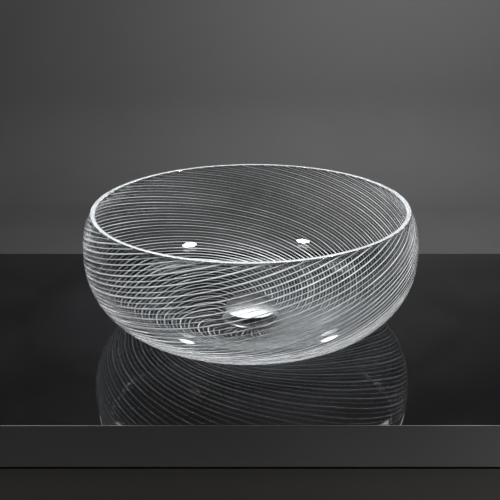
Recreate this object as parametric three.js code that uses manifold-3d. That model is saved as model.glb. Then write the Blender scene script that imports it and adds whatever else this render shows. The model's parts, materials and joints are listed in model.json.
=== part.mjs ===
// A round glass vessel basin on a two-drawer vanity, with its click-clack waste and bottle trap.
// Millimetres, +Z up, drawers open towards -Y. The origin is on the floor, under the middle of the cabinet.
import * as THREE from 'three';
import { mergeVertices } from 'three/addons/utils/BufferGeometryUtils.js';
import Module from 'manifold-3d';

const wasm = await Module();
wasm.setup();

// ---- Driving dimensions ----
const GAP = 0.3; // between pieces that touch

const WIDTH = 900;
const DEPTH = 475;
const COUNTER_TOP = 750;
const COUNTER_THICK = 50;
const PLINTH_HEIGHT = 80;
const PLINTH_RECESS = 57;
const BOARD = 18;

const BOWL_RADIUS = 210; // at its widest
const BOWL_HEIGHT = 150; // lip above the counter
const BOWL_WIDEST_AT = 93; // height of the widest ring above the counter
const BOWL_FOOT_RADIUS = 121; // edge of the flat underside
const BOWL_LIFT = 2; // flat underside above the counter
const LIP_OUTER_RADIUS = 198.3;
const LIP_THICK = 6;
const WALL_THICK = 7.5; // at the widest ring
const FLOOR_THICK = 10;
const BOWL_BEHIND_CENTRE = 25; // bowl axis behind the middle of the counter
const DRAIN_FORWARD = 45; // drain axis in front of the bowl axis

const WASTE_BORE = 19;
const WASTE_TUBE = 21;
const WASTE_FLANGE = 37;
const WASTE_END = -82; // lower end of the waste, from the counter top
const CAP_RADIUS = 32.3;
const CAP_LIFT = 27; // underside of the raised cap above the counter
const PIPE_OUTER = 16;
const PIPE_INNER = 14.5;
const PIPE_FIT = PIPE_OUTER + 0.4; // bore of every ring that holds the pipe
const TRAP_RADIUS = 32;
const TRAP_WALL = 3;
const OUTLET_BELOW_COUNTER = 195; // axis of the outlet pipe under the counter top

const FRONT_THICK = 19;
const FRONT_GAP = 3;
const GRIP_SLOT = 30; // free height between the two drawer fronts
const CHANNEL_HEIGHT = 74;
const CHANNEL_DEPTH = 26;
const CHANNEL_WALL = 2;
const RUNNER_LENGTH = 400;
const RUNNER_HEIGHT = 45;
const RUNNER_THICK = 12.7;
const UPPER_RUNNER_Z = 485;
const LOWER_RUNNER_Z = 170;
const DRAWER_SIDE = 16;
const DRAWER_BOTTOM = 12;
const UPPER_DRAWER_TOP = 640;

// ---- Levels worked out from them ----
const carcassTop = COUNTER_TOP - COUNTER_THICK;
const back = DEPTH / 2;
const carcassFront = -back + 23;
const frontFace = -back + 2;
const frontBack = frontFace + FRONT_THICK;
const insideX = WIDTH / 2 - BOARD;
const floorBoardTop = PLINTH_HEIGHT + GAP + BOARD;
const drainY = BOWL_BEHIND_CENTRE - DRAIN_FORWARD;
const slotMiddle = (PLINTH_HEIGHT + FRONT_GAP + carcassTop - FRONT_GAP) / 2;
const channelLow = slotMiddle - CHANNEL_HEIGHT / 2;
const channelHigh = slotMiddle + CHANNEL_HEIGHT / 2;

const vanity = new THREE.Group();

// ---- Finishes ----
const finish = (color, roughness, metalness, extra = {}) =>
  () => new THREE.MeshStandardMaterial({ color, roughness, metalness, ...extra });
const blackGloss = finish(0x0b0b0c, 0.06, 0);
const darkFront = finish(0x2a2825, 0.35, 0);
const darkBoard = finish(0x2d2b29, 0.6, 0);
const drawerBoard = finish(0x55524e, 0.55, 0);
const clearGlass = finish(0xdfe6ea, 0.05, 0, { transparent: true, opacity: 0.4 });
const chrome = finish(0xd9dbdc, 0.08, 1);
const rubber = finish(0x18181a, 0.8, 0);
const clearSilicone = finish(0xb9c0c2, 0.4, 0);
const zincSteel = finish(0x9b9da0, 0.4, 1);
const darkAluminium = finish(0x3a3a3c, 0.35, 1);
const blackPlastic = finish(0x1b1b1c, 0.6, 0);
const springSteel = finish(0x8f9195, 0.3, 1);

function add(group, name, geometry, material) {
  const mesh = new THREE.Mesh(geometry, material());
  mesh.name = name;
  group.add(mesh);
  return mesh;
}

// ---- Shapes ----

// A flat board between two corners.
function board(group, name, [x0, y0, z0], [x1, y1, z1], material) {
  const geometry = new THREE.BoxGeometry(x1 - x0, y1 - y0, z1 - z0);
  const mesh = add(group, name, geometry, material);
  mesh.position.set((x0 + x1) / 2, (y0 + y1) / 2, (z0 + z1) / 2);
  return mesh;
}

// A turned solid about +Z. The outline [radius, height] runs anticlockwise: up the outside, down the inside.
// It either starts and ends on the axis, or it is a ring and closes on itself.
function turned(outline, segments) {
  const points = outline.map(([r, z]) => new THREE.Vector2(r, z));
  const onAxis = outline[0][0] === 0;
  if (!onAxis) points.push(points[0].clone());
  const geometry = new THREE.LatheGeometry(points, segments);
  geometry.rotateX(Math.PI / 2);
  return geometry;
}

// A plain ring with a square section.
const ring = (inner, outer, low, high, segments = 32) =>
  turned([[inner, low], [outer, low], [outer, high], [inner, high]], segments);

// The same turned shapes about +Y: the outline's heights become distances along Y.
const alongY = (geometry) => geometry.rotateX(-Math.PI / 2);

// A nut with flat sides and a round bore, standing on z = low.
function nut(sides, acrossCorners, bore, low, height) {
  const shape = new THREE.Shape();
  for (let i = 0; i < sides; i += 1) {
    const angle = (i / sides) * 2 * Math.PI;
    const point = [acrossCorners * Math.cos(angle), acrossCorners * Math.sin(angle)];
    if (i === 0) shape.moveTo(...point);
    else shape.lineTo(...point);
  }
  const hole = new THREE.Path();
  hole.absarc(0, 0, bore, 0, 2 * Math.PI, true);
  shape.holes.push(hole);
  const options = { depth: height, bevelEnabled: false, curveSegments: 14 };
  return new THREE.ExtrudeGeometry(shape, options).translate(0, 0, low);
}

// A closed mesh as a solid that can be joined and cut.
function solidOf(geometry) {
  const bare = geometry.clone();
  bare.deleteAttribute('normal');
  bare.deleteAttribute('uv');
  const merged = mergeVertices(bare, 1e-3);
  const corners = [];
  for (let i = 0; i < merged.index.count; i += 3) {
    const [a, b, c] = [0, 1, 2].map((k) => merged.index.getX(i + k));
    if (a !== b && b !== c && c !== a) corners.push(a, b, c);
  }
  return new wasm.Manifold(new wasm.Mesh({
    numProp: 3,
    vertProperties: merged.attributes.position.array,
    triVerts: Uint32Array.from(corners),
  }));
}

function geometryOf(solid) {
  const { vertProperties, triVerts } = solid.getMesh();
  const geometry = new THREE.BufferGeometry();
  geometry.setAttribute('position', new THREE.BufferAttribute(vertProperties, 3));
  geometry.setIndex(new THREE.BufferAttribute(triVerts, 1));
  geometry.computeVertexNormals();
  return geometry;
}

// ---- The glass basin ----

// One face of the bowl's wall: a quarter ellipse from the flat part up to the widest ring,
// then a wall that leans in slowly at first and faster near the lip.
function wallCurve(flatRadius, low, widest, lipRadius, lipHeight) {
  const lowerSteps = 9;
  const upperSteps = 4;
  const points = [];
  for (let i = 0; i <= lowerSteps; i += 1) {
    const turn = (i / lowerSteps) * (Math.PI / 2);
    const r = flatRadius + (widest - flatRadius) * Math.sin(turn);
    points.push([r, BOWL_WIDEST_AT - (BOWL_WIDEST_AT - low) * Math.cos(turn)]);
  }
  for (let i = 1; i <= upperSteps; i += 1) {
    const s = i / upperSteps;
    const z = BOWL_WIDEST_AT + (lipHeight - BOWL_WIDEST_AT) * s;
    points.push([widest - (widest - lipRadius) * s ** 3, z]);
  }
  return points;
}

function buildBasin() {
  const basin = new THREE.Group();
  basin.position.set(0, BOWL_BEHIND_CENTRE, COUNTER_TOP);
  vanity.add(basin);

  const floorHeight = BOWL_LIFT + FLOOR_THICK;
  const halfLip = LIP_THICK / 2;
  const lipSpring = BOWL_HEIGHT - halfLip;
  const outer = wallCurve(BOWL_FOOT_RADIUS, BOWL_LIFT, BOWL_RADIUS, LIP_OUTER_RADIUS, lipSpring);
  const inner = wallCurve(
    BOWL_FOOT_RADIUS - 3, floorHeight, BOWL_RADIUS - WALL_THICK, LIP_OUTER_RADIUS - LIP_THICK, lipSpring);
  const lip = [1, 2, 3].map((i) => {
    const angle = (i / 4) * Math.PI;
    return [LIP_OUTER_RADIUS - halfLip + halfLip * Math.cos(angle), lipSpring + halfLip * Math.sin(angle)];
  });
  const outline = [[0, BOWL_LIFT], ...outer, ...lip, ...inner.reverse(), [0, floorHeight]];

  const holeRadius = WASTE_TUBE + 1.5;
  const drainHole = new THREE.CylinderGeometry(holeRadius, holeRadius, 4 * FLOOR_THICK, 32);
  drainHole.rotateX(Math.PI / 2).translate(0, -DRAIN_FORWARD, 0);
  const bowl = solidOf(turned(outline, 48)).subtract(solidOf(drainHole));
  add(basin, 'glass_bowl', geometryOf(bowl), clearGlass);
  const seal = ring(BOWL_FOOT_RADIUS - 13, BOWL_FOOT_RADIUS - 5, GAP, BOWL_LIFT - GAP, 40);
  add(basin, 'base_seal', seal, clearSilicone);
}

// ---- Waste, trap and outlet: heights here are measured from the counter top ----
function buildWaste() {
  const waste = new THREE.Group();
  waste.position.set(0, drainY, COUNTER_TOP);
  vanity.add(waste);

  // The flange lies on a thin seal on the bowl's floor, and its face is dished towards the bore.
  const tubeFit = WASTE_TUBE + GAP;
  const sealLow = BOWL_LIFT + FLOOR_THICK + GAP;
  const flangeLow = sealLow + 1.2 + GAP;
  add(waste, 'flange_seal', ring(tubeFit, WASTE_FLANGE - 3, sealLow, flangeLow - GAP), rubber);
  add(waste, 'waste_body', turned([
    [WASTE_BORE, WASTE_END], [WASTE_TUBE, WASTE_END], [WASTE_TUBE, flangeLow],
    [WASTE_FLANGE, flangeLow], [WASTE_FLANGE, flangeLow + 1.2], [WASTE_FLANGE - 1.5, flangeLow + 2.6],
    [WASTE_FLANGE - 8, flangeLow + 1.9], [WASTE_BORE + 3, flangeLow + 1.2], [WASTE_BORE, flangeLow - 1],
  ], 36), chrome);

  // A nut under the counter pulls the flange down, through a soft washer.
  const washerHigh = -COUNTER_THICK - GAP;
  const washerLow = washerHigh - 3;
  const nutCorner = 36;
  const nutHeight = 12;
  add(waste, 'clamp_washer', ring(tubeFit, nutCorner, washerLow, washerHigh), rubber);
  add(waste, 'lock_nut', nut(6, nutCorner, tubeFit, washerLow - GAP - nutHeight, nutHeight), chrome);

  buildPlug(waste);
  buildTrap(waste);
}

// The cap, its seal and its stem move together. The guide stands in the waste, and holds the spring.
function buildPlug(waste) {
  const corner = 1;
  const edgeHigh = CAP_LIFT + 2;
  const domeBase = edgeHigh + 0.8;
  const domeRadius = CAP_RADIUS - 0.8;
  const domeRise = 2.7;
  const steps = 5;
  const dome = [];
  for (let i = 0; i < steps; i += 1) {
    const turn = (i / steps) * (Math.PI / 2);
    dome.push([domeRadius * Math.cos(turn), domeBase + domeRise * Math.sin(turn)]);
  }
  add(waste, 'plug_cap', turned([
    [0, CAP_LIFT], [CAP_RADIUS - corner, CAP_LIFT], [CAP_RADIUS, CAP_LIFT + corner], [CAP_RADIUS, edgeHigh],
    ...dome, [0, domeBase + domeRise],
  ], 36), chrome);
  const [sealInner, sealOuter, sealThick] = [22, 27, 2.2];
  add(waste, 'plug_seal', ring(sealInner, sealOuter, CAP_LIFT - GAP - sealThick, CAP_LIFT - GAP), rubber);

  const stemRadius = 4.2;
  const stemHigh = CAP_LIFT - GAP;
  const stemLow = -9;
  const stem = new THREE.CylinderGeometry(stemRadius, stemRadius, stemHigh - stemLow, 16);
  stem.rotateX(Math.PI / 2).translate(0, 0, (stemHigh + stemLow) / 2);
  add(waste, 'plug_stem', stem, chrome);

  // The guide is a cup on a cross of two arms that wedges in the bore.
  const guideLow = -32;
  const guideHigh = 2;
  const cupFloor = guideLow + 2.3;
  const cupRadius = 7.5;
  const cupBore = stemRadius + 0.5;
  const armLength = 2 * (WASTE_BORE - GAP);
  const armMiddle = -21;
  const cup = turned([[0, guideLow], [cupRadius, guideLow], [cupRadius, guideHigh], [0, guideHigh]], 20);
  const bore = turned([[0, cupFloor], [cupBore, cupFloor], [cupBore, guideHigh + 8], [0, guideHigh + 8]], 20);
  const arm = () => new THREE.BoxGeometry(armLength, 3, 10).translate(0, 0, armMiddle);
  const crossArm = arm().rotateZ(Math.PI / 2);
  const guide = solidOf(cup).add(solidOf(arm())).add(solidOf(crossArm)).subtract(solidOf(bore));
  add(waste, 'plug_guide', geometryOf(guide), chrome);

  const wire = 0.5;
  const turns = 6;
  const coil = new Coil(cupBore - 1.1, cupFloor + GAP + wire, stemLow - GAP - wire, turns);
  const section = new THREE.Shape().absarc(0, 0, wire, 0, 2 * Math.PI, false);
  const options = { steps: 11 * turns, curveSegments: 3, extrudePath: coil };
  add(waste, 'plug_spring', new THREE.ExtrudeGeometry(section, options), springSteel);
}

// A helix about +Z.
class Coil extends THREE.Curve {
  constructor(radius, low, high, turns) {
    super();
    Object.assign(this, { radius, low, high, turns });
  }

  getPoint(t, target = new THREE.Vector3()) {
    const angle = t * this.turns * 2 * Math.PI;
    const z = this.low + (this.high - this.low) * t;
    return target.set(this.radius * Math.cos(angle), this.radius * Math.sin(angle), z);
  }
}

function buildTrap(waste) {
  // The slip nut clamps the collar of the inlet tube against the end of the waste.
  const collarHigh = WASTE_END - GAP;
  const collarLow = collarHigh - 2.5;
  const collarRadius = WASTE_TUBE - GAP;
  const bodyTop = -160;
  const bodyLow = -230;
  const tubeEnd = bodyLow - 20; // under the water line, which makes the seal
  add(waste, 'inlet_tube', turned([
    [PIPE_INNER, tubeEnd], [PIPE_OUTER, tubeEnd], [PIPE_OUTER, collarLow],
    [collarRadius, collarLow], [collarRadius, collarHigh], [PIPE_INNER, collarHigh],
  ], 32), chrome);

  const slipNut = 26;
  const slipFit = WASTE_TUBE + GAP;
  const slipLow = collarLow - 5.3;
  const slipHigh = WASTE_END + 14;
  add(waste, 'inlet_nut', turned([
    [PIPE_FIT, slipLow], [slipNut, slipLow], [slipNut, slipHigh], [slipFit, slipHigh],
    [slipFit, collarLow - GAP], [PIPE_FIT, collarLow - GAP],
  ], 24), chrome);
  const glandCorner = 25;
  const glandHeight = 15;
  add(waste, 'trap_gland_nut', nut(8, glandCorner, PIPE_FIT, bodyTop + GAP, glandHeight), chrome);

  // The bottle: a shell, open below, with a branch towards the wall.
  const cavityRadius = TRAP_RADIUS - TRAP_WALL;
  const branchRadius = PIPE_FIT + TRAP_WALL + 0.6;
  const branchEnd = 62;
  const rod = (radius, low, high) => turned([[0, low], [radius, low], [radius, high], [0, high]], 32);
  const branch = alongY(rod(branchRadius, 0, branchEnd)).translate(0, 0, -OUTLET_BELOW_COUNTER);
  const branchBore = alongY(rod(PIPE_FIT, 0, branchEnd + 1)).translate(0, 0, -OUTLET_BELOW_COUNTER);
  const bottle = solidOf(rod(TRAP_RADIUS, bodyLow, bodyTop))
    .add(solidOf(branch))
    .subtract(solidOf(rod(cavityRadius, bodyLow - 1, bodyTop - 4)))
    .subtract(solidOf(rod(PIPE_FIT, bodyTop - 10, bodyTop + 1)))
    .subtract(solidOf(branchBore));
  add(waste, 'trap_body', geometryOf(bottle), chrome);

  // The cup screws into the bottle from below.
  const cupLow = -280;
  const cupRadius = TRAP_RADIUS - 1;
  const cupCorner = 8;
  const spigot = cavityRadius - GAP;
  const cupBore = spigot - TRAP_WALL + 0.3;
  const spigotHigh = bodyLow + 15;
  add(waste, 'trap_cup', turned([
    [0, cupLow], [cupRadius - cupCorner + 1, cupLow], [cupRadius, cupLow + cupCorner],
    [cupRadius, bodyLow - GAP], [spigot, bodyLow - GAP], [spigot, spigotHigh], [cupBore, spigotHigh],
    [cupBore, cupLow + cupCorner], [cupBore - cupCorner + TRAP_WALL, cupLow + TRAP_WALL],
    [0, cupLow + TRAP_WALL],
  ], 32), chrome);

  // Outlet: slip nut, pipe and the rose over the hole in the wall. Distances run from the drain's axis.
  const wall = back - drainY - GAP;
  const outlet = new THREE.Group();
  outlet.position.z = -OUTLET_BELOW_COUNTER;
  waste.add(outlet);
  const nutRadius = 25;
  const branchFit = branchRadius + GAP;
  const nutNear = branchEnd - 16;
  const nutFar = branchEnd + 8;
  add(outlet, 'outlet_nut', alongY(turned([
    [branchFit, nutNear], [nutRadius, nutNear], [nutRadius, nutFar], [PIPE_FIT, nutFar],
    [PIPE_FIT, branchEnd + GAP], [branchFit, branchEnd + GAP],
  ], 24)), chrome);
  add(outlet, 'outlet_pipe', alongY(ring(PIPE_INNER, PIPE_OUTER, branchEnd - 20, wall)), chrome);
  const roseRadius = 35;
  const roseNear = wall - 9;
  add(outlet, 'wall_rose', alongY(turned([
    [PIPE_FIT, roseNear], [PIPE_FIT + 3.6, roseNear], [roseRadius - 5, roseNear + 3],
    [roseRadius, wall - 1.5], [roseRadius, wall], [PIPE_FIT, wall],
  ], 32)), chrome);
}

// ---- The cabinet ----
function buildCounter() {
  const shape = new THREE.Shape();
  shape.moveTo(-WIDTH / 2, -back).lineTo(WIDTH / 2, -back).lineTo(WIDTH / 2, back).lineTo(-WIDTH / 2, back);
  const hole = new THREE.Path();
  hole.absarc(0, drainY, WASTE_TUBE + 3, 0, 2 * Math.PI, true);
  shape.holes.push(hole);
  const options = { depth: COUNTER_THICK, bevelEnabled: false, curveSegments: 16 };
  const slab = new THREE.ExtrudeGeometry(shape, options);
  add(vanity, 'counter_top', slab.translate(0, 0, carcassTop), blackGloss);
}

function buildCarcass() {
  const low = PLINTH_HEIGHT + GAP;
  const high = carcassTop - GAP;
  const inX = insideX - GAP;
  const frontRailDeep = 80;
  const wallRailHigh = 85;
  const backThick = 16;
  const backHigh = 400; // the space above it is open for the pipes
  board(vanity, 'side_left', [-WIDTH / 2, carcassFront, low], [-insideX, back, high], darkFront);
  board(vanity, 'side_right', [insideX, carcassFront, low], [WIDTH / 2, back, high], darkFront);
  board(vanity, 'floor_board', [-inX, carcassFront, low], [inX, back, low + BOARD], darkBoard);
  board(vanity, 'front_rail',
    [-inX, carcassFront, high - BOARD], [inX, carcassFront + frontRailDeep, high], darkBoard);
  board(vanity, 'wall_rail', [-inX, back - BOARD, high - wallRailHigh], [inX, back, high], darkBoard);
  board(vanity, 'back_board',
    [-inX, back - backThick, floorBoardTop + GAP], [inX, back, backHigh], darkBoard);

  // Handleless grip: a channel that opens forwards behind the slot between the drawer fronts.
  const [y0, y1] = [carcassFront, carcassFront + CHANNEL_DEPTH];
  const wall = CHANNEL_WALL;
  const channel = prismAlongX(inX, [
    [y0, channelLow], [y1, channelLow], [y1, channelHigh], [y0, channelHigh], [y0, channelHigh - wall],
    [y1 - wall, channelHigh - wall], [y1 - wall, channelLow + wall], [y0, channelLow + wall],
  ]);
  add(vanity, 'grip_channel', channel, darkAluminium);
}

// A section given as [y, z], pushed from -halfWidth to +halfWidth.
function prismAlongX(halfWidth, outline) {
  const shape = new THREE.Shape(outline.map(([y, z]) => new THREE.Vector2(y, z)));
  const prism = new THREE.ExtrudeGeometry(shape, { depth: 2 * halfWidth, bevelEnabled: false });
  prism.rotateX(Math.PI / 2).rotateZ(Math.PI / 2);
  return prism.translate(-halfWidth, 0, 0);
}

function buildPlinth() {
  const thick = 15;
  const outX = WIDTH / 2 - 20;
  const faceY = -back + PLINTH_RECESS;
  const [low, high] = [1, PLINTH_HEIGHT]; // clear of the floor, which only the legs touch
  board(vanity, 'plinth_front', [-outX, faceY, low], [outX, faceY + thick, high], darkFront);
  for (const [side, sign] of [['left', -1], ['right', 1]]) {
    const [xa, xb] = [sign * outX, sign * (outX - thick)].sort((a, b) => a - b);
    board(vanity, `plinth_${side}`, [xa, faceY + thick + GAP, low], [xb, back - 20, high], darkFront);
  }

  const footRadius = 25;
  const plateRadius = 28;
  const legX = outX - thick - plateRadius - GAP;
  const frontLegY = faceY + thick + plateRadius + GAP;
  const rearLegY = back - 50;
  const waist = 15;
  const plateHigh = 10;
  const outline = [
    [0, 0], [footRadius, 0], [footRadius, 6], [waist + 2, 10], [waist, 12], [waist, PLINTH_HEIGHT - 18],
    [plateRadius, PLINTH_HEIGHT - plateHigh], [plateRadius, PLINTH_HEIGHT], [0, PLINTH_HEIGHT],
  ];
  for (const [end, y] of [['front', frontLegY], ['rear', rearLegY]]) {
    for (const [side, x] of [['left', -legX], ['right', legX]]) {
      add(vanity, `leg_${end}_${side}`, turned(outline, 20), blackPlastic).position.set(x, y, 0);
    }
  }
}

// ---- Drawers ----

// One full-extension runner: three nested C sections. The fixed and middle members open towards the drawer,
// and the drawer member opens back into them. Distances run from the cabinet side towards the drawer.
function buildRunner(name, sign, z) {
  const sheet = 1.2;
  const half = RUNNER_HEIGHT / 2;
  const sections = [
    ['fixed', 0, 9.5, half, 1],
    ['middle', 3, 10.5, half - sheet - 0.4, 1],
    ['drawer', 5, RUNNER_THICK, half - 2 * sheet - 0.8, -1],
  ];
  for (const [member, near, far, reach, facing] of sections) {
    const [web, tip] = facing > 0 ? [near, far] : [far, near];
    const inWeb = web + facing * sheet;
    const outline = [
      [web, -reach], [tip, -reach], [tip, -reach + sheet], [inWeb, -reach + sheet],
      [inWeb, reach - sheet], [tip, reach - sheet], [tip, reach], [web, reach],
    ];
    const shape = new THREE.Shape(outline.map(([u, w]) => new THREE.Vector2(sign * (insideX - GAP - u), w)));
    const bar = new THREE.ExtrudeGeometry(shape, { depth: RUNNER_LENGTH, bevelEnabled: false });
    bar.rotateX(Math.PI / 2).translate(0, carcassFront + 2 + RUNNER_LENGTH, z);
    add(vanity, `${name}_${member}`, bar, zincSteel);
  }
}

function buildDrawer(prefix, { frontLow, frontHigh, boxLow, boxHigh, runnerZ }) {
  const x = WIDTH / 2 - 2;
  const boxX = insideX - GAP - RUNNER_THICK - GAP;
  const boxFront = frontBack + GAP;
  const boxBack = carcassFront + 2 + RUNNER_LENGTH;
  const panelX = boxX - DRAWER_SIDE - GAP;
  board(vanity, `${prefix}_front`, [-x, frontFace, frontLow], [x, frontBack, frontHigh], darkFront);
  board(vanity, `${prefix}_side_left`,
    [-boxX, boxFront, boxLow], [-boxX + DRAWER_SIDE, boxBack, boxHigh], drawerBoard);
  board(vanity, `${prefix}_side_right`,
    [boxX - DRAWER_SIDE, boxFront, boxLow], [boxX, boxBack, boxHigh], drawerBoard);
  const bottomLow = boxLow + 6;
  const bottomHigh = bottomLow + DRAWER_BOTTOM;
  board(vanity, `${prefix}_bottom`,
    [-panelX, boxFront, bottomLow], [panelX, boxBack, bottomHigh], drawerBoard);
  buildRunner(`${prefix}_runner_left`, -1, runnerZ);
  buildRunner(`${prefix}_runner_right`, 1, runnerZ);
  return { panelX, boxBack, inside: bottomHigh + GAP, boxHigh };
}

// The upper drawer is U-shaped: a well, open at the back, lets it pass around the trap.
function buildUpperDrawer() {
  const box = buildDrawer('upper_drawer', {
    frontLow: slotMiddle + GRIP_SLOT / 2,
    frontHigh: carcassTop - FRONT_GAP,
    boxLow: channelHigh + 8,
    boxHigh: UPPER_DRAWER_TOP,
    runnerZ: UPPER_RUNNER_Z,
  });
  const wellX = 75; // half the width of the well
  const thick = DRAWER_BOTTOM;
  const wellFront = drainY - 60;
  const backFace = box.boxBack - DRAWER_SIDE;
  for (const [side, sign] of [['left', -1], ['right', 1]]) {
    const [wallA, wallB] = [sign * wellX, sign * (wellX + thick)].sort((a, b) => a - b);
    board(vanity, `upper_drawer_well_${side}`,
      [wallA, wellFront, box.inside], [wallB, box.boxBack, box.boxHigh], drawerBoard);
    const [backA, backB] = [sign * (wellX + thick + GAP), sign * box.panelX].sort((a, b) => a - b);
    board(vanity, `upper_drawer_back_${side}`,
      [backA, backFace, box.inside], [backB, box.boxBack, box.boxHigh], drawerBoard);
  }
  const across = wellX + thick;
  board(vanity, 'upper_drawer_well_front',
    [-across, wellFront - GAP - thick, box.inside], [across, wellFront - GAP, box.boxHigh], drawerBoard);
}

function buildLowerDrawer() {
  const box = buildDrawer('lower_drawer', {
    frontLow: PLINTH_HEIGHT + FRONT_GAP,
    frontHigh: slotMiddle - GRIP_SLOT / 2,
    boxLow: floorBoardTop + 12,
    boxHigh: channelLow - 20,
    runnerZ: LOWER_RUNNER_Z,
  });
  board(vanity, 'lower_drawer_back', [-box.panelX, box.boxBack - DRAWER_SIDE, box.inside],
    [box.panelX, box.boxBack, box.boxHigh], drawerBoard);
}

buildBasin();
buildWaste();
buildCounter();
buildCarcass();
buildPlinth();
buildUpperDrawer();
buildLowerDrawer();

export default vanity;
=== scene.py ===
"""The looks of a round glass vessel basin on a two-drawer vanity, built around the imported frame.
Metres, +Z up."""
import json
import math
import random

import bmesh
import bpy
import numpy as np
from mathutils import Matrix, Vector


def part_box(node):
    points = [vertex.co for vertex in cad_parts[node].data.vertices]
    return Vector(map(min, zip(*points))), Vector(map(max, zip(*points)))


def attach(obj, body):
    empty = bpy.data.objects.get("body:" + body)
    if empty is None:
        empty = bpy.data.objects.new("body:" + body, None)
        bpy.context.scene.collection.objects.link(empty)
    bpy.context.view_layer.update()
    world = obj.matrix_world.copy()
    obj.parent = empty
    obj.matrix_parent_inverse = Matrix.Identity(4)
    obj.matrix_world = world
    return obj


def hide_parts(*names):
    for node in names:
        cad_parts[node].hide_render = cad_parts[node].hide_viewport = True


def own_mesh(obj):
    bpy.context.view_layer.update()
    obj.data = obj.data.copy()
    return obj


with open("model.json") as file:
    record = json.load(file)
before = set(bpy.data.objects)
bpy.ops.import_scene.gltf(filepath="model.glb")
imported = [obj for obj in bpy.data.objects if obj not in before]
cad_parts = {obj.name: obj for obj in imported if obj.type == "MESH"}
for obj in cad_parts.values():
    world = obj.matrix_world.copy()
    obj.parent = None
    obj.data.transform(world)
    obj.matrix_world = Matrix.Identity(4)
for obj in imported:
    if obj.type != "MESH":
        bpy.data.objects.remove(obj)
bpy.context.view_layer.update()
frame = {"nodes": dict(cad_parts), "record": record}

NODES = frame["nodes"]
BODY_OF = {node: body for body, nodes in frame["record"]["behaviour"]["bodies"].items() for node in nodes}
SLOT_OF = {part["node"]: part["material_slot"] for part in frame["record"]["subparts"]}
MM = 0.001


# ---- Places and sizes, from the frame ----
def middle(node):
    low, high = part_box(node)
    return (low + high) / 2


glass_low, glass_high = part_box("glass_bowl")
BOWL_Y = middle("glass_bowl").y
BOWL_RADIUS = (glass_high.x - glass_low.x) / 2
FOOT_Z = glass_low.z
LIP_Z = glass_high.z
COUNTER_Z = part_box("counter_top")[1].z
DRAIN_Y = middle("plug_cap").y
DRAIN_FORWARD = BOWL_Y - DRAIN_Y

WIDEST_Z = FOOT_Z + 91 * MM
FOOT_RADIUS = 121 * MM
LIP_OUTER_RADIUS = 198.3 * MM
LIP_THICK = 6 * MM
WALL_THICK = 7.5 * MM
FLOOR_THICK = 10 * MM
HOLE_RADIUS = 22.5 * MM
LIP_SPRING_Z = LIP_Z - LIP_THICK / 2

THREADS = 66
STRONG_THREAD, FINE_THREAD = 0.6 * MM, 0.3 * MM  # radii; they take turns
SPIRAL_RADIUS = 52 * MM  # the circle that the threads unwind from, like string from a reel

# How the twist departs from an even one. Lengths are along the glass, from the middle of the floor.
BACK_SKEW = 1  # at the length where the skew starts
BACK_SKEW_GROWTH = 40  # per metre
SKEW_START = 300 * MM
SKEW_REACH = 100 * MM
FLOOR_LENGTH = 200 * MM
SIDE_SKEW = 1.5

# The part of a noise's 0 to 1 that most of it lies in.
NOISE_LOW, NOISE_HIGH = 0.3, 0.7
GRIP_GROOVE = 0.7 * MM
ON_AXIS = 1e-7


# ---- Materials ----
def link(tree, source, target):
    tree.links.new(source, target)


def blank(name):
    material = bpy.data.materials.new(name)
    material.use_nodes = True
    return material, material.node_tree, material.node_tree.nodes["Principled BSDF"]


def noise(tree, scale, stretch=(1, 1, 1), detail=4.0):
    """Noise over the object's own coordinates, which are metres. Returns its 0 to 1 output."""
    nodes = tree.nodes
    place = nodes.new("ShaderNodeTexCoord")
    mapping = nodes.new("ShaderNodeMapping")
    mapping.inputs["Scale"].default_value = stretch
    texture = nodes.new("ShaderNodeTexNoise")
    texture.inputs["Scale"].default_value = scale
    texture.inputs["Detail"].default_value = detail
    link(tree, place.outputs["Object"], mapping.inputs["Vector"])
    link(tree, mapping.outputs["Vector"], texture.inputs["Vector"])
    return texture.outputs["Fac"]


def spread(tree, value, low, high):
    """A noise value stretched from low to high."""
    node = tree.nodes.new("ShaderNodeMapRange")
    node.inputs["From Min"].default_value = NOISE_LOW
    node.inputs["From Max"].default_value = NOISE_HIGH
    node.inputs["To Min"].default_value = low
    node.inputs["To Max"].default_value = high
    link(tree, value, node.inputs["Value"])
    return node.outputs["Result"]


def tinted(tree, value, colour, shade):
    """The colour, from darker to lighter by a share as the noise value grows."""
    ramp = tree.nodes.new("ShaderNodeValToRGB")
    ends = ramp.color_ramp.elements
    ends[0].position, ends[1].position = NOISE_LOW, NOISE_HIGH
    ends[0].color = (*[c * (1 - shade) for c in colour], 1)
    ends[1].color = (*[min(1, c * (1 + shade)) for c in colour], 1)
    link(tree, value, ramp.inputs["Fac"])
    return ramp.outputs["Color"]


def relief(tree, value, shader, distance):
    bump = tree.nodes.new("ShaderNodeBump")
    bump.inputs["Distance"].default_value = distance
    bump.inputs["Strength"].default_value = 1.0
    link(tree, value, bump.inputs["Height"])
    link(tree, bump.outputs["Normal"], shader.inputs["Normal"])


def finish(name, colour, roughness, shade=0.1, rough_by=0.15, scale=40.0, stretch=(1, 1, 1),
           fine=600.0, fine_stretch=None, depth=0.0, **fixed):
    """A Principled material. Its colour and roughness drift with a broad noise, and a fine one gives the
    relief."""
    material, tree, shader = blank(name)
    broad = noise(tree, scale, stretch)
    link(tree, tinted(tree, broad, colour, shade), shader.inputs["Base Color"])
    low, high = roughness * (1 - rough_by), roughness * (1 + rough_by)
    link(tree, spread(tree, broad, low, high), shader.inputs["Roughness"])
    if depth:
        relief(tree, noise(tree, fine, fine_stretch or stretch, 2.0), shader, depth)
    for socket, value in fixed.items():
        shader.inputs[socket.replace("_", " ")].default_value = value
    return material


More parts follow.
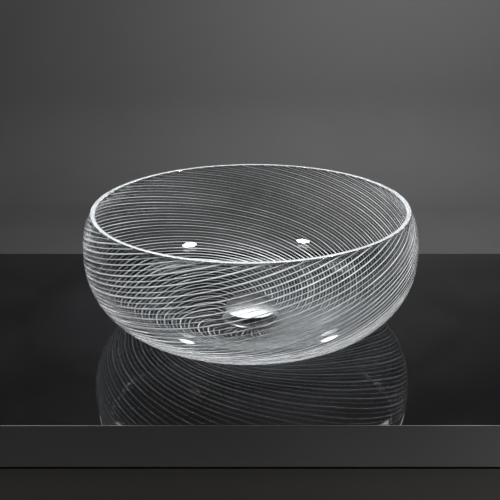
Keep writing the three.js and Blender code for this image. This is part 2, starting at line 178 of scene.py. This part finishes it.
def glass(name, colour, roughness, ior):
    """Clear glass that lets light rays through, so that what lies in it is lit."""
    shadow_tint = (0.86, 0.87, 0.88, 1)
    waviness = 0.25 * MM
    material, tree, shader = blank(name)
    link(tree, tinted(tree, noise(tree, 9), colour, 0.04), shader.inputs["Base Color"])
    shader.inputs["Transmission Weight"].default_value = 1.0
    shader.inputs["IOR"].default_value = ior
    link(tree, spread(tree, noise(tree, 30), 0, roughness), shader.inputs["Roughness"])
    relief(tree, noise(tree, 14, detail=1.0), shader, waviness)
    path = tree.nodes.new("ShaderNodeLightPath")
    clear = tree.nodes.new("ShaderNodeBsdfTransparent")
    clear.inputs["Color"].default_value = shadow_tint
    mix = tree.nodes.new("ShaderNodeMixShader")
    link(tree, path.outputs["Is Shadow Ray"], mix.inputs["Fac"])
    link(tree, shader.outputs["BSDF"], mix.inputs[1])
    link(tree, clear.outputs["BSDF"], mix.inputs[2])
    link(tree, mix.outputs["Shader"], tree.nodes["Material Output"].inputs["Surface"])
    return material


MATERIALS = {
    "clear_glass": glass("blown_glass", (0.5, 0.515, 0.52), 0.02, 1.5),
    "white_thread": finish("white_glass", (0.86, 0.87, 0.88), 0.25, shade=0.08, scale=35),
    "clear_silicone": finish("silicone", (0.03, 0.031, 0.033), 0.7, shade=0.1, scale=90, depth=0.05 * MM),
    "black_gloss": finish("black_lacquer", (0.006, 0.006, 0.0065), 0.03, shade=0.3, rough_by=0.5, scale=9,
                          fine=25, depth=0.004 * MM, IOR=1.8),
    "rubber": finish("rubber", (0.02, 0.02, 0.021), 0.75, shade=0.25, scale=200, depth=0.05 * MM),
    "chrome": finish("chrome", (0.82, 0.83, 0.84), 0.16, shade=0.03, rough_by=0.5, scale=50, Metallic=1.0),
    "spring_steel": finish("spring_wire", (0.5, 0.5, 0.51), 0.28, scale=300, Metallic=1.0),
    "dark_front": finish("satin_lacquer", (0.035, 0.031, 0.027), 0.32, shade=0.12, scale=14,
                         fine=260, depth=0.01 * MM),
    "dark_board": finish("dark_melamine", (0.04, 0.037, 0.034), 0.55, shade=0.15, scale=30,
                         stretch=(1, 12, 12), fine=400, depth=0.04 * MM),
    "drawer_board": finish("grey_melamine", (0.13, 0.12, 0.11), 0.5, shade=0.2, scale=18,
                           stretch=(14, 1, 14), fine=140, depth=0.05 * MM),
    "zinc_steel": finish("zinc_plate", (0.55, 0.56, 0.58), 0.36, shade=0.12, rough_by=0.3, scale=180,
                         depth=0.01 * MM, Metallic=1.0),
    "dark_aluminium": finish("dark_anodised", (0.06, 0.06, 0.063), 0.38, shade=0.15, scale=60,
                             stretch=(0.2, 12, 12), fine=260, depth=0.01 * MM, Metallic=1.0),
    "black_plastic": finish("moulded_plastic", (0.025, 0.025, 0.026), 0.55, shade=0.15, scale=120,
                            fine=1400, depth=0.03 * MM),
}

# Finishes for what differs from the rest of its slot: the lip's ribbon, the counter's edges, and the cap
# with the flange.
LIP_WHITE = finish("lip_glass", (0.5, 0.51, 0.52), 0.3, shade=0.12, scale=25)
# The counter's rounded edges: a rougher lacquer, and a lighter colour that paints a sheen line along the
# edge.
EDGE_LACQUER_PAINTED_SHEEN = finish("edge_lacquer_painted_sheen", (0.012, 0.012, 0.013), 0.35, shade=0.2, scale=20)
SATIN_CHROME = finish("satin_chrome", (0.6, 0.61, 0.62), 0.28, shade=0.05, scale=60,
                      stretch=(1, 8, 1), Metallic=1.0)


# ---- Making pieces ----
def piece(name, points, faces, slot, body="vanity", node=None, crease=35):
    """A smooth-shaded mesh that rides on a body and, with a node, stands for it."""
    mesh = bpy.data.meshes.new(name)
    mesh.from_pydata(points, [], faces)
    mesh.validate()
    mesh.shade_smooth()
    mesh.set_sharp_from_angle(angle=math.radians(crease))
    made = bpy.data.objects.new(name, mesh)
    bpy.context.scene.collection.objects.link(made)
    return placed(made, slot, body, node)


def placed(made, slot, body, node):
    made.data.materials.clear()
    made.data.materials.append(MATERIALS[slot])
    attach(made, body)
    if node:
        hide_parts(node)
    return made


def hoops(rings, segments):
    """Points and faces of a closed skin through rings (centre_y, radius, z), the last joined to the first."""
    points, faces = [], []
    for centre_y, radius, z in rings:
        for i in range(segments):
            angle = 2 * math.pi * i / segments
            points.append((radius * math.cos(angle), centre_y + radius * math.sin(angle), z))
    count = len(rings)
    for j in range(count):
        a, b = j * segments, (j + 1) % count * segments
        for i in range(segments):
            k = (i + 1) % segments
            faces.append((a + i, a + k, b + k, b + i))
    return points, faces


def wall_curve(flat, low, widest, lip, steps=36):
    """One face of the bowl's wall as (radius, z): a quarter ellipse to the widest ring, then a lean
    inwards."""
    curve = []
    for i in range(steps + 1):
        turn = i / steps * math.pi / 2
        radius = flat + (widest - flat) * math.sin(turn)
        curve.append((radius, WIDEST_Z - (WIDEST_Z - low) * math.cos(turn)))
    upper = steps // 2
    for i in range(1, upper + 1):
        share = i / upper
        radius = widest - (widest - lip) * share ** 3
        curve.append((radius, WIDEST_Z + (LIP_SPRING_Z - WIDEST_Z) * share))
    return curve


# ---- The basin ----
def make_bowl():
    inner_foot = FOOT_RADIUS - 3 * MM
    floor_z = FOOT_Z + FLOOR_THICK
    outer = wall_curve(FOOT_RADIUS, FOOT_Z, BOWL_RADIUS, LIP_OUTER_RADIUS)
    inner = wall_curve(inner_foot, floor_z, BOWL_RADIUS - WALL_THICK, LIP_OUTER_RADIUS - LIP_THICK)
    corner = 1.2 * MM
    quarter = [math.pi / 2 * i / 6 for i in range(7)]
    rise = [(corner * (1 - math.cos(a)), LIP_Z - corner * (1 - math.sin(a))) for a in quarter]
    lip = [(LIP_OUTER_RADIUS - inset, z) for inset, z in rise]
    lip += [(LIP_OUTER_RADIUS - LIP_THICK + inset, z) for inset, z in reversed(rise)]
    rings = [(BOWL_Y, r, z) for r, z in outer + lip + inner[::-1]]

    # The floor runs from the foot's ring to the drain hole, which is nearer the front.
    steps = 10
    shares = [i / steps for i in range(1, steps + 1)]
    rings += [(BOWL_Y - DRAIN_FORWARD * t, inner_foot + (HOLE_RADIUS - inner_foot) * t, floor_z)
              for t in shares]
    rings += [(BOWL_Y - DRAIN_FORWARD * t, FOOT_RADIUS + (HOLE_RADIUS - FOOT_RADIUS) * t, FOOT_Z)
              for t in reversed(shares)]
    points, faces = hoops(rings, 288)
    piece("bowl_glass", points, faces, "clear_glass", node="glass_bowl")


def make_lip():
    """A flat ribbon of white glass just under the flat top of the lip."""
    centre = LIP_OUTER_RADIUS - LIP_THICK / 2
    half_width, half_height = 1.7 * MM, 0.15 * MM
    z = LIP_Z - 0.6 * MM
    section = [2 * math.pi * i / 16 for i in range(16)]
    rings = [(BOWL_Y, centre + half_width * math.cos(a), z + half_height * math.sin(a)) for a in section]
    points, faces = hoops(rings, 288)
    ribbon = piece("bowl_lip_ribbon", points, faces, "white_thread")
    ribbon.data.materials[0] = LIP_WHITE


def smooth_step(x):
    x = np.clip(x, 0, 1)
    return x * x * (3 - 2 * x)


def glass_profile():
    """Halfway through the glass, from the middle of the floor to just under the lip: radius, height and
    length along it."""
    floor_z = FOOT_Z + FLOOR_THICK / 2
    lip_radius = LIP_OUTER_RADIUS - LIP_THICK / 2
    curve = wall_curve(FOOT_RADIUS - 1.5 * MM, floor_z, BOWL_RADIUS - WALL_THICK / 2, lip_radius, 60)
    under_lip = (lip_radius, LIP_Z - 1.3 * MM)
    radius, height = np.array([(0, floor_z), *curve, under_lip]).T
    along = np.concatenate([[0], np.cumsum(np.hypot(np.diff(radius), np.diff(height)))])
    return radius, height, along


def back_skew(s):
    """How much closer together the threads lie at the back. It grows down the wall and stays even over the
    floor."""
    return BACK_SKEW + BACK_SKEW_GROWTH * np.minimum(SKEW_START - s, SKEW_REACH)


def twist_slopes(s, angle, radius):
    """How the twist changes with length along the glass (per metre) and with angle. A thread keeps one
    twist, so it unwinds evenly from a circle round the drain, over the floor and up the wall."""
    per_turn = THREADS / (2 * math.pi)
    by_length = -per_turn / SPIRAL_RADIUS * np.sqrt(np.clip(1 - (SPIRAL_RADIUS / radius) ** 2, 0, 1))
    by_length = by_length - np.where(s > FLOOR_LENGTH, BACK_SKEW_GROWTH, 0) * np.sin(angle)
    by_angle = per_turn + back_skew(s) * np.cos(angle) + SIDE_SKEW * np.sin(angle)
    return by_length, by_angle


def thread_lines():
    """The centre line of each thread, from the lip down the wall and over the floor to the drain hole. A
    place is a length along the glass and an angle, on rings centred on the bowl at the wall and on the drain
    at the floor. Every second place is kept."""
    profile_radius, profile_height, along = glass_profile()
    widest = profile_radius.argmax()
    drain_ring, centred_ring = 37 * MM, 170 * MM
    stop_at = HOLE_RADIUS + 4 * MM
    step, most_steps, lip_rounds = 2 * MM, 530, 20

    def ring(s):
        return np.interp(s, along, profile_radius)

    def headings(s, angle):
        by_length, by_angle = twist_slopes(s, angle, np.maximum(ring(s), 1 * MM))
        size = np.hypot(by_angle, ring(s) * by_length)
        return -by_angle / size, by_length / size

    # At the lip the threads are where the twist is a whole number.
    s = np.full(THREADS, along[-1])
    number = np.arange(THREADS)
    angle = number * 2 * math.pi / THREADS
    for _ in range(lip_rounds):
        twist = THREADS / (2 * math.pi) * angle + back_skew(s) * np.sin(angle) - SIDE_SKEW * np.cos(angle)
        angle = angle - (twist - number) / twist_slopes(s, angle, ring(s))[1]

    places = [(s, angle)]
    for _ in range(most_steps):
        ds, dangle = headings(s, angle)
        ds, dangle = headings(s + ds * step / 2, angle + dangle * step / 2)
        s, angle = s + ds * step, angle + dangle * step
        places.append((s, angle))

    lines = []
    for k in range(THREADS):
        s, angle = np.array([(lengths[k], angles[k]) for lengths, angles in places]).T
        reached = np.nonzero(s < stop_at)[0]
        if len(reached):
            s, angle = s[:reached[0]], angle[:reached[0]]
        radius = ring(s)
        centred = smooth_step((radius - drain_ring) / (centred_ring - drain_ring))
        off_centre = -DRAIN_FORWARD * (1 - centred)
        off_centre = np.where(s > along[widest], 0, off_centre)
        x, y = radius * np.cos(angle), off_centre + radius * np.sin(angle)
        lower = np.interp(np.hypot(x, y), profile_radius[:widest + 1], profile_height[:widest + 1])
        z = np.where(s < along[widest], lower, np.interp(s, along, profile_height))
        lines.append(np.stack([x, BOWL_Y + y, z], axis=1)[::2])
    return lines


def make_threads():
    sides = 6
    unevenness, thinner_behind, thicker_on_floor = 0.12, 0.55, 0.35
    floor_top, floor_blend = 45 * MM, 35 * MM
    draw = random.Random(11)
    points, faces = [], []
    for k, line in enumerate(thread_lines()):
        count = len(line)
        forward = np.gradient(line, axis=0)
        forward /= np.linalg.norm(forward, axis=1)[:, None]
        across = np.cross(forward, (0, 0, 1))
        across /= np.linalg.norm(across, axis=1)[:, None]
        up = np.cross(across, forward)
        thick = (FINE_THREAD if k % 2 else STRONG_THREAD) * draw.uniform(0.85, 1.15)
        wave, phase = draw.uniform(2, 5), draw.uniform(0, 6)
        share = np.linspace(0, 1, count)
        behind = np.clip((line[:, 1] - BOWL_Y) / BOWL_RADIUS, 0, 1)
        floor = smooth_step((FOOT_Z + floor_top - line[:, 2]) / floor_blend)
        drift = 1 + unevenness * np.sin(wave * 2 * math.pi * share + phase)
        radius = thick * drift * (1 - thinner_behind * behind * (1 - floor)) * (1 + thicker_on_floor * floor)
        first = len(points)
        for i in range(sides):
            angle = 2 * math.pi * i / sides
            ring = line + radius[:, None] * (math.cos(angle) * across + math.sin(angle) * up)
            points.extend(map(tuple, ring))
        for i in range(sides):
            a, b = first + i * count, first + (i + 1) % sides * count
            faces.extend((a + j, a + j + 1, b + j + 1, b + j) for j in range(count - 1))
        faces.append([first + i * count for i in range(sides)])
        faces.append([first + i * count + count - 1 for i in reversed(range(sides))])
    piece("bowl_threads", points, faces, "white_thread", crease=60)


# ---- Turned pieces ----
def softened(outline, radius, steps=3):
    """A closed outline (r, z) with its corners rounded, apart from those on the axis."""
    soft = []
    count = len(outline)
    for i, corner in enumerate(outline):
        here, before, after = (Vector(outline[j % count]) for j in (i, i - 1, i + 1))
        if corner[0] <= 0:
            soft.append(corner)
            continue
        into, out = before - here, after - here
        reach = min(radius, into.length * 0.45, out.length * 0.45)
        a, b = here + into.normalized() * reach, here + out.normalized() * reach
        for j in range(steps + 1):
            t = j / steps
            point = a * (1 - t) ** 2 + here * 2 * t * (1 - t) + b * t ** 2
            soft.append((max(point.x, 0), point.y))
    return soft


def turned(name, outline, node, axis_at, along="z", segments=96, radius=0.4 * MM, ribs=0):
    """A turned piece. The outline is (r, height) in millimetres, with heights from axis_at. Its widest part
    may have ribs for grip, cut in from the outside."""
    outline = softened([(r * MM, h * MM) for r, h in outline], radius)
    widest = max(r for r, h in outline)
    points, faces = [], []
    rows = []
    for r, h in outline:
        if r < ON_AXIS:
            rows.append([len(points)])
            points.append((0, 0, h))
            continue
        rows.append(list(range(len(points), len(points) + segments)))
        for i in range(segments):
            angle = 2 * math.pi * i / segments
            ribbed = ribs and r > widest - 0.1 * MM
            groove = GRIP_GROOVE * max(0, math.cos(ribs * angle)) if ribbed else 0
            points.append(((r - groove) * math.cos(angle), (r - groove) * math.sin(angle), h))
    for j, row in enumerate(rows):
        other = rows[(j + 1) % len(rows)]
        if len(row) == 1 and len(other) == 1:
            continue
        for i in range(segments):
            k = (i + 1) % segments
            if len(row) == 1:
                faces.append((row[0], other[k], other[i]))
            elif len(other) == 1:
                faces.append((row[i], row[k], other[0]))
            else:
                faces.append((row[i], row[k], other[k], other[i]))
    if along == "y":
        points = [(x, z, -y) for x, y, z in points]
    points = [tuple(Vector(p) + Vector(axis_at)) for p in points]
    return piece(name, points, faces, SLOT_OF[node], BODY_OF[node], node)


def make_waste():
    at = (0, DRAIN_Y, COUNTER_Z)
    waste = turned("waste_flange_and_tube", [
        (19, -82), (21, -82), (21, 13.8), (37, 13.8), (37, 15), (35.5, 16.4), (29, 15.7), (22, 15),
        (19, 12.8),
    ], "waste_body", at, radius=0.5 * MM)
    low, high = 27, 32.5
    rim = [(31.3, low), (32.3, low + 1), (32.3, low + 2)]
    dome = [(31.9 * r, low + 2.2 + 3.3 * (1 - r * r)) for r in (1 - i / 14 for i in range(14))]
    cap = turned("cap", [(0, low), *rim, *dome, (0, high)], "plug_cap", at, radius=0.3 * MM)
    for made in (waste, cap):
        made.data.materials[0] = SATIN_CHROME
    turned("cap_stem", [(0, -9), (4.2, -9), (4.2, 26.7), (0, 26.7)], "plug_stem", at, segments=48)
    turned("cap_seal", [(22, 24.5), (27, 24.5), (27, 26.7), (22, 26.7)], "plug_seal", at, radius=0.7 * MM)
    turned("flange_gasket", [(21.3, 12.3), (34, 12.3), (34, 13.5), (21.3, 13.5)], "flange_seal", at)
    turned("washer", [(21.3, -53.3), (36, -53.3), (36, -50.3), (21.3, -50.3)], "clamp_washer", at)
    turned("foot_seal", [(108, 0.3), (116, 0.3), (116, 1.7), (108, 1.7)], "base_seal",
           (0, BOWL_Y, COUNTER_Z), segments=160)


def make_spring():
    """The wire coil under the stem, at the spring's length in the frame. It rides with its body and does not
    get shorter as the plug goes down.
    """
    low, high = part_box("plug_spring")
    wire, coil, turns, sides = 0.5 * MM, 3.6 * MM, 6, 10
    steps = 36 * turns
    points = []
    for i in range(steps + 1):
        angle = 2 * math.pi * turns * i / steps
        z = low.z + wire + (high.z - low.z - 2 * wire) * i / steps
        for j in range(sides):
            round_wire = 2 * math.pi * j / sides
            r = coil + wire * math.cos(round_wire)
            points.append((r * math.cos(angle), DRAIN_Y + r * math.sin(angle),
                           z + wire * math.sin(round_wire)))
    faces = [tuple(reversed(range(sides))), tuple(steps * sides + j for j in range(sides))]
    for i in range(steps):
        for j in range(sides):
            k = (j + 1) % sides
            faces.append((i * sides + j, i * sides + k, (i + 1) * sides + k, (i + 1) * sides + j))
    made = piece("spring_coil", points, faces, SLOT_OF["plug_spring"], BODY_OF["plug_spring"],
                 "plug_spring", 60)
    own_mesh(made)


def make_trap():
    at = (0, DRAIN_Y, COUNTER_Z)
    turned("trap_inlet", [
        (14.5, -250), (16, -250), (16, -84.8), (20.7, -84.8), (20.7, -82.3), (14.5, -82.3),
    ], "inlet_tube", at)
    turned("trap_inlet_nut", [
        (16.4, -90.1), (26, -90.1), (26, -68), (21.3, -68), (21.3, -85.1), (16.4, -85.1),
    ], "inlet_nut", at, segments=240, radius=1.2 * MM, ribs=20)
    turned("trap_bottle", [
        (29, -230), (32, -230), (32, -160), (16.4, -160), (16.4, -164), (29, -164),
    ], "trap_body", at, radius=3 * MM)
    turned("trap_cup_turned", [
        (0, -280), (24, -280), (31, -272), (31, -230.3), (28.7, -230.3), (28.7, -215), (26, -215), (26, -272),
        (21, -277), (0, -277),
    ], "trap_cup", at, radius=2.5 * MM)

    pipe_low, pipe_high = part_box("outlet_pipe")
    pipe_at = (0, DRAIN_Y, (pipe_low.z + pipe_high.z) / 2)
    wall = (pipe_high.y - DRAIN_Y) / MM
    turned("trap_branch", [(16.4, 25), (20, 25), (20, 62), (16.4, 62)], "trap_body", pipe_at, along="y")
    turned("trap_outlet_nut", [
        (20.3, 46), (25, 46), (25, 70), (16.4, 70), (16.4, 62.3), (20.3, 62.3),
    ], "outlet_nut", pipe_at, along="y", segments=240, radius=1.2 * MM, ribs=20)
    turned("outlet_pipe_turned", [(14.5, 42), (16, 42), (16, wall), (14.5, wall)], "outlet_pipe", pipe_at,
           along="y")
    turned("rose", [
        (16.4, wall - 9), (20, wall - 9), (30, wall - 6), (35, wall - 1.5), (35, wall), (16.4, wall),
    ], "wall_rose", pipe_at, along="y", radius=2 * MM)
    eased("lock_nut", 0.9 * MM)
    eased("trap_gland_nut", 0.9 * MM)


def make_legs():
    outline = [(0, 0), (25, 0), (25, 6), (17, 10), (15, 12), (15, 62), (28, 70), (28, 80), (0, 80)]
    for node in SLOT_OF:
        if node.startswith("leg_"):
            centre = middle(node)
            turned(f"{node}_turned", outline, node, (centre.x, centre.y, 0), radius=1.2 * MM)


# ---- Boards and bars: the frame's own shapes with their edges rounded ----
def eased(node, width, segments=2):
    same_plane, sharp_edge = math.radians(0.5), math.radians(30)
    mesh = NODES[node].data.copy()
    shape = bmesh.new()
    shape.from_mesh(mesh)
    bmesh.ops.remove_doubles(shape, verts=shape.verts, dist=1e-6)
    bmesh.ops.dissolve_limit(shape, angle_limit=same_plane, verts=shape.verts, edges=shape.edges)
    sharp = [e for e in shape.edges if e.is_manifold and e.calc_face_angle(0) > sharp_edge]
    rounded = bmesh.ops.bevel(shape, geom=sharp, offset=width, segments=segments, profile=0.5,
                              affect="EDGES", clamp_overlap=True)["faces"]
    for face in shape.faces:
        face.smooth = False
    for face in rounded:
        face.smooth = True
    shape.to_mesh(mesh)
    shape.free()
    mesh.name = f"{node}_eased"
    made = bpy.data.objects.new(f"{node}_eased", mesh)
    bpy.context.scene.collection.objects.link(made)
    placed(made, SLOT_OF[node], BODY_OF[node], node)
    if node == "counter_top":
        # The rounded edge faces get the lighter lacquer, a painted sheen line along the counter's edge.
        mesh.materials.append(EDGE_LACQUER_PAINTED_SHEEN)
        for face in mesh.polygons:
            face.material_index = int(face.use_smooth)


def ease_boards():
    widths = {"black_gloss": 0.8 * MM, "dark_front": 0.8 * MM, "dark_board": 0.5 * MM,
              "drawer_board": 0.6 * MM, "dark_aluminium": 0.4 * MM, "zinc_steel": 0.2 * MM}
    for node, slot in SLOT_OF.items():
        if slot in widths:
            eased(node, widths[slot])


def paint_the_rest():
    """What keeps its shape from the frame gets the finish of its slot."""
    for node, made in NODES.items():
        if not made.hide_render:
            made.data.materials.clear()
            made.data.materials.append(MATERIALS[SLOT_OF[node]])


# ---- The stage ----
def aimed(made, target):
    made.rotation_euler = (Vector(target) - made.location).to_track_quat("-Z", "Y").to_euler()


def softbox(name, location, target, size, power, spread=180, shape="RECTANGLE"):
    data = bpy.data.lights.new(name, "AREA")
    data.shape = shape
    data.spread = math.radians(spread)
    data.size, data.size_y = size
    data.energy = power
    lamp = bpy.data.objects.new(name, data)
    bpy.context.scene.collection.objects.link(lamp)
    lamp.location = location
    aimed(lamp, target)


def sheet_of(name, points, faces, colour, roughness):
    mesh = bpy.data.meshes.new(name)
    mesh.from_pydata(points, [], faces)
    mesh.shade_smooth()
    mesh.materials.append(finish(name, colour, roughness, shade=0.03, scale=3))
    made = bpy.data.objects.new(name, mesh)
    bpy.context.scene.collection.objects.link(made)


def make_stage():
    reach = 9.0
    sheet_of("floor", [(-reach, -reach, 0), (reach, -reach, 0), (reach, reach, 0), (-reach, reach, 0)],
             [(0, 1, 2, 3)], (0.58, 0.58, 0.575), 0.6)

    # A dark paper sweep behind: along the floor, round a bend and up.
    half_width, front, bend_at, bend, top = 3.2, 1.2, 2.75, 0.5, 3.4
    paper_z = 2 * MM
    line = [(front, paper_z), (bend_at, paper_z)]
    line += [(bend_at + bend * math.sin(a), bend - bend * math.cos(a)) for a in
             (math.pi / 2 * i / 12 for i in range(1, 13))]
    line.append((bend_at + bend, top))
    points = [(x, y, z) for y, z in line for x in (-half_width, half_width)]
    faces = [(2 * i, 2 * i + 1, 2 * i + 3, 2 * i + 2) for i in range(len(line) - 1)]
    sheet_of("backdrop", points, faces, (0.16, 0.16, 0.16), 0.8)


def make_lights():
    world = bpy.data.worlds.new("soft_grey")
    bpy.context.scene.world = world
    world.use_nodes = True
    sky = world.node_tree.nodes["Background"]
    sky.inputs["Color"].default_value = (1, 1, 1, 1)
    sky.inputs["Strength"].default_value = 0.06
    bowl = (0, BOWL_Y, LIP_Z)
    softbox("right", (1.5, -0.1, 3.2), bowl, (0.4, 0.4), 10, 65, "ELLIPSE")
    softbox("left", (-1.4, -0.5, 3.4), bowl, (0.4, 0.4), 5.5, 45, "ELLIPSE")
    softbox("front", (1.6, -2.4, 2.5), (1.2, -1.3, 0), (0.8, 0.8), 5, 45)
    softbox("strip", (0.0, 1.86, 2.75), bowl, (2.4, 0.86), 9.8, 84)
    softbox("wall", (1.7, 0.9, 2.5), (0.0, 3.1, 0.5), (0.8, 0.8), 23, 100)


def make_camera():
    """At the photograph's angle, above and in front of the bowl."""
    right, in_front, above = 0.0191, 0.9147, 0.4411
    tilt_down = 21.1  # degrees
    data = bpy.data.cameras.new("camera")
    camera = bpy.data.objects.new("camera", data)
    bpy.context.scene.collection.objects.link(camera)
    camera.location = (right, BOWL_Y - in_front, COUNTER_Z + above)
    camera.rotation_euler = (math.radians(90 - tilt_down), 0, 0)
    data.sensor_width = 36
    data.lens = 54.97
    data.shift_x = -0.0328
    data.clip_start = 0.05
    bpy.context.scene.camera = camera


bpy.context.scene.view_settings.view_transform = "Standard"
make_camera()
make_bowl()
make_lip()
make_threads()
make_waste()
make_spring()
make_trap()
make_legs()
ease_boards()
paint_the_rest()
make_stage()
make_lights()
